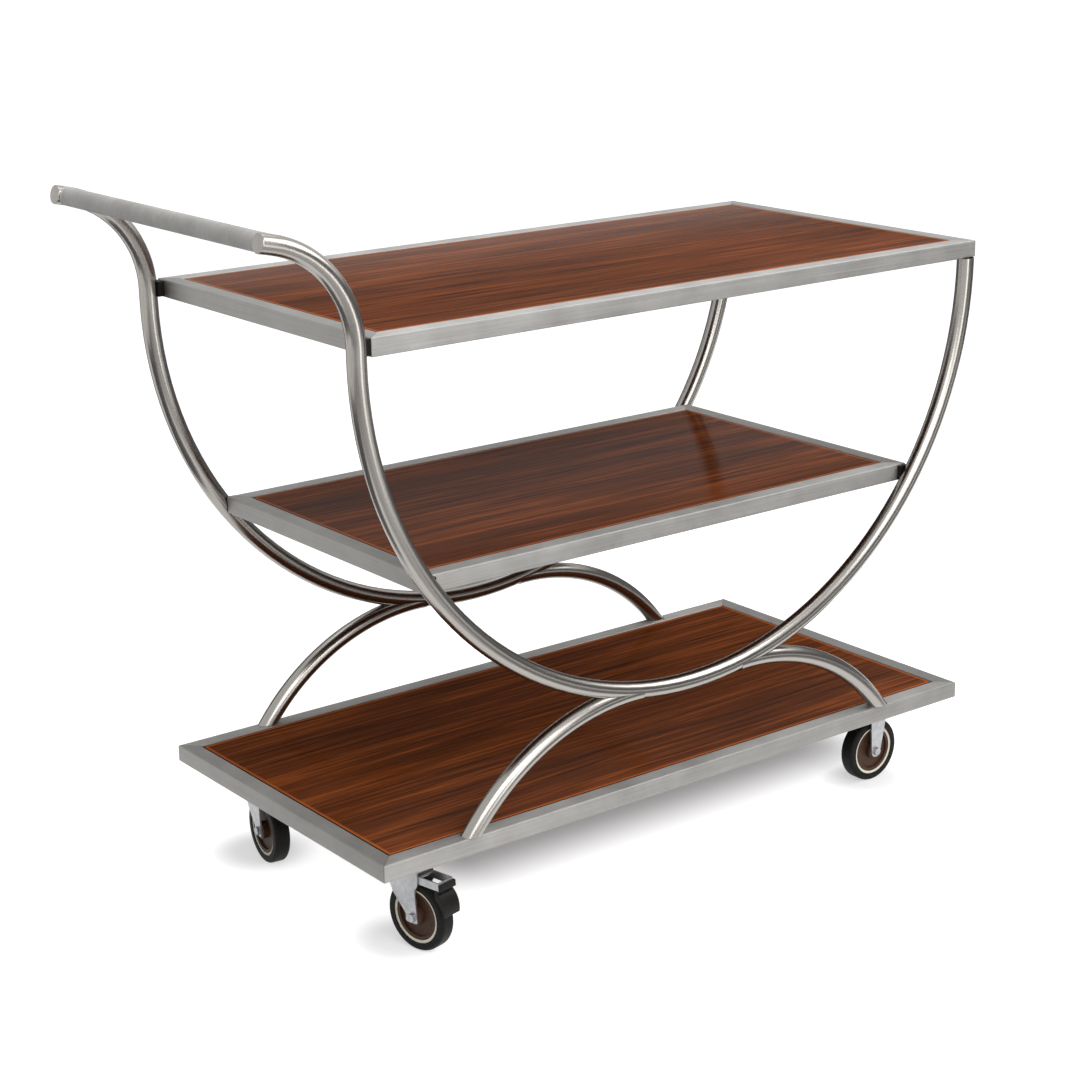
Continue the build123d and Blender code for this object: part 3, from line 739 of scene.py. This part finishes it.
def add_screw(mesh, seat):
    """A button head with a hexagon socket, hanging from a point of the ledge's underside."""
    turns = turns_of(SCREW_SIDES)
    socket = [SOCKET_FLATS / 2 / cos((t + pi / 6) % (pi / 3) - pi / 6) for t in turns]
    profile = [([share * SCREW_RADIUS] * SCREW_SIDES, drop * SCREW_HEIGHT) for share, drop in SCREW_PROFILE]
    profile += [(socket, SCREW_HEIGHT), (socket, SCREW_HEIGHT - SOCKET_DEPTH)]
    rings = []
    for radii, drop in profile:
        rim = [seat + Vector((r * cos(t), r * sin(t), -drop)) for r, t in zip(radii, turns)]
        rings.append([mesh.verts.new(point) for point in rim])
    add_skin(mesh, rings)


screw_mesh = bmesh.new()
for shelf in SHELVES:
    low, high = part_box(f"{shelf}_board_ledges")
    for side in (-1, 1):
        for step in range(SCREWS_PER_LEDGE):
            share = (step + 0.5) / SCREWS_PER_LEDGE
            seat = Vector((low.x + share * (high.x - low.x), side * (high.y - LEDGE_INSET), low.z))
            add_screw(screw_mesh, seat)
finish_piece("board_screws", screw_mesh, zinc, "base")
print("screws under the ledges:", 2 * SCREWS_PER_LEDGE * len(SHELVES))

# %% [markdown]
# ## Shape of a weld bead
#
# A weld bead is a thin rounded string with a small ripple from the hand that laid it, and it thins out at both ends.
# A curve with a round bevel and a radius at each point could give it too. Rings of points along the line are as
# short to write with the helpers above, and the mesh is closed at once.

# %% A bead along points
BEAD_SIDES = 10
BEAD_RIPPLE = 0.12
RIPPLE_LENGTH = 0.0021
BEAD_TIP = 0.15
TAPER_RADII = 4


def add_bead(mesh, points, radius):
    """A weld bead along points: a round string with ripples that thins to a tip at both ends."""
    rings = []
    walked = 0.0
    total = sum((b - a).length for a, b in zip(points, points[1:]))
    for index, point in enumerate(points):
        before = points[max(index - 1, 0)]
        after = points[min(index + 1, len(points) - 1)]
        heading = (after - before).normalized()
        walked += (point - before).length
        side = heading.orthogonal().normalized()
        rise = heading.cross(side)
        taper = min(1.0, BEAD_TIP + min(walked, total - walked) / (TAPER_RADII * radius))
        swell = radius * taper * (1 + BEAD_RIPPLE * sin(2 * pi * walked / RIPPLE_LENGTH))
        rim = [point + swell * (cos(t) * side + sin(t) * rise) for t in turns_of(BEAD_SIDES)]
        rings.append([mesh.verts.new(place) for place in rim])
    add_skin(mesh, rings)


print("bead of", BEAD_SIDES, "sides ready")

# %% [markdown]
# ## Weld beads
#
# The legs are welded on the bottom frame. A bead follows the line where two surfaces meet, and where a leaning tube
# lands on a flat rail that line is an ellipse. Points of the ellipse that lie off the rail are left out.

# %% The weld beads
BEAD_RADIUS = 0.0013
BEAD_STEPS = 120
SHORTEST_RUN = 6
RAIL_EDGE = 0.002


def runs_on(points, on_rail):
    """Unbroken runs of the points of a closed line that lie on the rail."""
    first_off = next(index for index, point in enumerate(points) if not on_rail(point))
    turned = points[first_off:] + points[:first_off]
    runs = [[]]
    for point in turned:
        if on_rail(point):
            runs[-1].append(point)
        elif runs[-1]:
            runs.append([])
    return [run for run in runs if len(run) > SHORTEST_RUN]


def landing(centre_line, lean, height):
    """The ellipse where a tube that leans by an angle meets a level face."""
    long_half = TUBE_RADIUS / sin(lean)
    turns = turns_of(BEAD_STEPS)
    return [centre_line + Vector((long_half * cos(t), TUBE_RADIUS * sin(t), height)) for t in turns]


weld_mesh = bmesh.new()
rail_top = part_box("bottom_right_rail")[1].z
for side in ("right", "left"):
    low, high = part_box(f"bottom_{side}_rail")
    for end, toward in (("front", 1), ("rear", -1)):
        centre = leg_centre(end)
        tube_y = sum(corner.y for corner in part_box(f"{end}_{side}_leg")) / 2
        rise = rail_top - centre.z
        foot = Vector((centre.x + toward * sqrt(LEG_RADIUS**2 - rise**2), tube_y, 0))
        ring = landing(foot, acos(rise / LEG_RADIUS), rail_top)
        for run in runs_on(ring, lambda p: low.y + RAIL_EDGE < p.y < high.y - RAIL_EDGE):
            add_bead(weld_mesh, run, BEAD_RADIUS)
finish_piece("leg_foot_welds", weld_mesh, polished_bows, "base")
print("weld beads at the feet of the legs")

# %% [markdown]
# ## Welds of the bar and the tube ends
#
# Where two equal tubes meet at a right angle, the line between them is a saddle. A point of it lies as far inside the
# plane of the side tube's axis as it lies along that tube from the middle of the bar. The bead is made in two halves
# that thin out towards the top and the bottom, where the two surfaces run into each other. The front ends of the side
# tubes are welded under the top frame with the same ring as the legs.

# %% The beads at the bar and under the top frame
HANDLE_ANGLE = radians(78)
SADDLE_HALF = radians(80)
SADDLE_STEPS = BEAD_STEPS // 2
BAR_BEAD_RADIUS = 0.0009

handle_mesh = bmesh.new()
bar_low, bar_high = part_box("push_bar")
bar_middle = (bar_low + bar_high) / 2
tube_run = Vector((-sin(HANDLE_ANGLE), 0, cos(HANDLE_ANGLE)))
tube_rise = Vector((cos(HANDLE_ANGLE), 0, sin(HANDLE_ANGLE)))
front_x = tube_high.x - TUBE_RADIUS
for side in ("right", "left"):
    low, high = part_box(f"{side}_side_tube")
    axis_y = (low.y + high.y) / 2
    inward = -1 if axis_y > 0 else 1
    for half in (0, pi):
        saddle = []
        for step in range(SADDLE_STEPS + 1):
            turn = half + SADDLE_HALF * (2 * step / SADDLE_STEPS - 1)
            point = bar_middle + TUBE_RADIUS * (cos(turn) * tube_run + sin(turn) * tube_rise)
            point.y = axis_y + inward * TUBE_RADIUS * abs(cos(turn))
            saddle.append(point)
        add_bead(handle_mesh, saddle, BAR_BEAD_RADIUS)
    low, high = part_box(f"top_{side}_rail")
    ring = landing(Vector((front_x, axis_y, 0)), pi / 2, low.z)
    for run in runs_on(ring, lambda p: low.y < p.y < high.y and p.x < high.x):
        add_bead(handle_mesh, run, BEAD_RADIUS)
finish_piece("handle_welds", handle_mesh, satin, "base")
print("weld beads at the bar and under the top frame")

# %% [markdown]
# ## Stage helpers
#
# Floor and flags are the stage, not the cart. Their materials are plain, and some of them should look white to the
# camera without throwing that white on the cart. The kind of ray tells the two apart.

# %% Stage materials and pieces
def start_stage(name):
    """An empty node tree of a stage material, returned with the material and its output socket."""
    material = bpy.data.materials.new(name)
    material.use_nodes = True
    material.node_tree.nodes.clear()
    output = add_node(material.node_tree, "ShaderNodeOutputMaterial")
    return material, material.node_tree, output.inputs["Surface"]


def showing_rays(tree):
    """One for rays that show the stage to the camera, straight, mirrored or through glass, and nought for the rest."""
    rays = add_node(tree, "ShaderNodeLightPath").outputs
    mirrored = maths(tree, "MAXIMUM", rays["Is Glossy Ray"], rays["Is Transmission Ray"])
    return maths(tree, "MAXIMUM", rays["Is Camera Ray"], mirrored)


def matt_paint(tree, colour):
    """A plain matt shader of one colour."""
    paint = add_node(tree, "ShaderNodeBsdfDiffuse")
    paint.inputs["Color"].default_value = colour
    return paint.outputs["BSDF"]


def stage_piece(name, corners, material):
    """A flat piece of the stage from its corner points."""
    mesh = bmesh.new()
    mesh.faces.new([mesh.verts.new(corner) for corner in corners])
    data = bpy.data.meshes.new(name)
    mesh.to_mesh(data)
    mesh.free()
    data.materials.append(material)
    piece = bpy.data.objects.new(name, data)
    bpy.context.scene.collection.objects.link(piece)
    return piece


print("stage helpers ready")

# %% [markdown]
# ## Floor
#
# The cart stands on a plain white sweep with a soft shadow, partly real and partly painted. The floor is pale paint
# with a glow added for the rays that show it, straight to the camera or by way of a mirror, so that the white needs no
# more light on the cart.
# The glow is weak under the front and far part of the cart, a painted shadow that adds to the real one, and nearly
# white a short way outside it. Round each caster it is a little weaker than white, a painted shade in which the wheel's
# own shadow shows too.

# %% The floor
FLOOR_HALF = 14.0
FLOOR_PAINT = rgb(200, 200, 201)
# Painted shadow: the glow is lower in a soft box under the cart and in a disc round each caster.
PAINTED_SHADOW_GLOW = 0.23
OPEN_GLOW = 0.94
GLOW_REACH = (0.15, 0.16, 1.0)
SHADOW_MIDDLE = (0.18, 0.1, 0.0)
SHADOW_HALF = (0.35, 0.12, 0.0)
CASTER_SHADE_GLOW = 0.52
CASTER_NEAR = 0.03
CASTER_FAR = 0.1
CASTER_JOINTS = ("rear_right_swivel_turn", "front_right_wheel_roll")  # the left casters mirror these

floor_paint, tree, surface = start_stage("studio_floor")
ground = add_node(tree, "ShaderNodeTexCoord").outputs["Object"]
# The glow drops inside a soft box under the cart: a painted shadow on top of the real one.
either_way = vectors(tree, "ABSOLUTE", vectors(tree, "SUBTRACT", ground, SHADOW_MIDDLE))
outside = vectors(tree, "MAXIMUM", vectors(tree, "SUBTRACT", either_way, SHADOW_HALF))
reach = vectors(tree, "LENGTH", vectors(tree, "DIVIDE", outside, GLOW_REACH))
level = ranged(tree, reach, 0.0, 1.0, PAINTED_SHADOW_GLOW, OPEN_GLOW, "SMOOTHSTEP")
x, y, z = split(tree, ground)
one_side = joined(tree, x, maths(tree, "ABSOLUTE", y), z)
# Round each caster the glow drops in a soft disc: painted shade under the wheel.
for joint in frame["joints"]:
    if joint["name"] in CASTER_JOINTS:
        under_wheel = (joint["pos_m"][0], abs(joint["pos_m"][1]), 0)
        apart = vectors(tree, "LENGTH", vectors(tree, "SUBTRACT", one_side, under_wheel))
        caster_shade_glow = ranged(tree, apart, CASTER_NEAR, CASTER_FAR, CASTER_SHADE_GLOW, OPEN_GLOW, "SMOOTHSTEP")
        level = maths(tree, "MINIMUM", level, caster_shade_glow)
glow = add_node(tree, "ShaderNodeEmission")
put(tree, maths(tree, "MULTIPLY", showing_rays(tree), level), glow.inputs["Strength"])
both = add_node(tree, "ShaderNodeAddShader")
tree.links.new(matt_paint(tree, FLOOR_PAINT), both.inputs[0])
tree.links.new(glow.outputs["Emission"], both.inputs[1])
tree.links.new(both.outputs["Shader"], surface)
corners = [(FLOOR_HALF * x, FLOOR_HALF * y, 0) for x, y in ((-1, -1), (1, -1), (1, 1), (-1, 1))]
stage_piece("studio_floor", corners, floor_paint)
print("floor", 2 * FLOOR_HALF, "m wide")

# %% [markdown]
# ## Room
#
# The world is white where it is seen, straight or mirrored, and only a soft fill for the light that falls on the
# cart. The same kinds of ray as for the floor tell which is which.

# %% The room
FILL_LEVEL = 0.3

world = bpy.data.worlds.new("studio")
bpy.context.scene.world = world
world.use_nodes = True
tree = world.node_tree
tree.nodes.clear()
background = add_node(tree, "ShaderNodeBackground")
background.inputs["Color"].default_value = (1, 1, 1, 1)
put(tree, maths(tree, "MAXIMUM", showing_rays(tree), FILL_LEVEL), background.inputs["Strength"])
output = add_node(tree, "ShaderNodeOutputWorld")
tree.links.new(background.outputs["Background"], output.inputs["Surface"])
print("room with a fill of", FILL_LEVEL)

# %% [markdown]
# ## Flags and mats
#
# Polished tubes in a room that is white all round would look flat. So grey flags stand round the cart and mats lie on
# the floor, as photographers use them for metal and glass: the camera doesn't see them and they throw no shadow, but
# they draw the dark lines in the tubes and rails. One high flag is darker than the rest, and the mat on the camera's
# side is paler.

# %% The flags and mats
FLAG_COLOUR = rgb(150, 150, 151)
DEEP_COLOUR = rgb(92, 92, 93)
PALE_COLOUR = rgb(219, 219, 220)
FLAGS = {  # both ends in plan, lower and upper edge
    "back_flag": ((-0.75, 1.25), (2.6, 1.25), 0.0, 0.86),
    "high_flag": ((-0.75, 1.25), (2.6, 1.25), 1.08, 1.27),
    "left_flag": ((-1.3, -0.5), (-1.15, 0.6), 0.0, 0.5),
    "front_flag": ((2.5, -1.9), (2.4, 1.2), 0.15, 1.4),
    "side_flag": ((0.7, -2.9), (2.5, -1.9), 0.3, 1.6),
}
MATS = {  # two opposite corners in plan
    "rear_mat": ((-1.3, -0.3), (-0.75, 0.8)),
    "side_mat": ((0.1, -1.9), (3.0, -0.6)),
    "camera_mat": ((-3.2, -3.2), (0.1, -0.7)),
}
MAT_HEIGHT = 0.001


def matt_cloth(name, colour):
    """Plain matt cloth of one colour."""
    material, tree, surface = start_stage(name)
    tree.links.new(matt_paint(tree, colour), surface)
    return material


flag_cloth = matt_cloth("grey_flag", FLAG_COLOUR)
odd_cloths = {
    "high_flag": matt_cloth("dark_flag", DEEP_COLOUR),
    "camera_mat": matt_cloth("pale_flag", PALE_COLOUR),
}
outlines = {}
for name, ((x0, y0), (x1, y1)) in MATS.items():
    outlines[name] = [(*corner, MAT_HEIGHT) for corner in ((x0, y0), (x1, y0), (x1, y1), (x0, y1))]
for name, (start, end, low, high) in FLAGS.items():
    outlines[name] = [(*start, low), (*end, low), (*end, high), (*start, high)]
for name, corners in outlines.items():
    flag = stage_piece(name, corners, odd_cloths.get(name, flag_cloth))
    flag.visible_camera = False
    flag.visible_diffuse = False
    flag.visible_shadow = False
print("flags and mats:", *outlines)

# %% [markdown]
# ## Lamps
#
# Four soft lamps light the cart: one overhead, one above the camera's corner, a key lamp over the front end, and a
# tall narrow one on the right side. The last three also show in the tubes as the bright bands along every bend.

# %% The lamps
AIM = Vector((0.0, 0.0, 0.5))


def add_lamp(name, place, size, power):
    """A rectangular soft lamp that looks at the middle of the cart."""
    light = bpy.data.lights.new(name, "AREA")
    light.shape = "RECTANGLE"
    light.size, light.size_y = size
    light.energy = power
    lamp = bpy.data.objects.new(name, light)
    lamp.location = place
    lamp.rotation_euler = (AIM - Vector(place)).to_track_quat("-Z", "Y").to_euler()
    lamp.visible_camera = False
    bpy.context.scene.collection.objects.link(lamp)


add_lamp("overhead", place=(0.2, 0.4, 3.1), size=(2.2, 1.8), power=19.0)
add_lamp("front", place=(-0.9, -2.3, 1.9), size=(2.2, 1.6), power=40.0)
add_lamp("key", place=(1.9, -1.5, 2.5), size=(1.8, 1.6), power=36.0)
add_lamp("tall", place=(0.3, -2.4, 1.0), size=(0.7, 2.0), power=10.0)
print("lamps:", [light.name for light in bpy.data.lights])

# %% [markdown]
# ## Camera
#
# The camera looks at the rear right corner from above the handle's height, with a long lens, so that the far side is
# only a little smaller than the near one. Its place and angles were found by matching corners of the shelves, the
# wheels and the bar with the photograph.

# %% The camera
CAMERA_PLACE = Vector((-1.9558, -2.5532, 1.4216))
CAMERA_AZIMUTH = radians(37.407)
CAMERA_ELEVATION = radians(16.843)
CAMERA_ROLL = radians(-0.719)
CAMERA_LENS = 76.44
SENSOR_WIDTH = 36.0

forward = Vector((
    sin(CAMERA_AZIMUTH) * cos(CAMERA_ELEVATION),
    cos(CAMERA_AZIMUTH) * cos(CAMERA_ELEVATION),
    -sin(CAMERA_ELEVATION),
))
rightward = Vector((cos(CAMERA_AZIMUTH), -sin(CAMERA_AZIMUTH), 0))
upward = rightward.cross(forward)
upright = Matrix((rightward, upward, -forward)).transposed()
rolled = upright @ Matrix.Rotation(CAMERA_ROLL, 3, "Z")
camera = bpy.data.objects.new("camera", bpy.data.cameras.new("camera"))
camera.data.lens = CAMERA_LENS
camera.data.sensor_width = SENSOR_WIDTH
camera.matrix_world = Matrix.Translation(CAMERA_PLACE) @ rolled.to_4x4()
bpy.context.scene.collection.objects.link(camera)
bpy.context.scene.camera = camera
bpy.context.scene.view_settings.view_transform = "Standard"
print("camera at", tuple(round(v, 3) for v in camera.location))
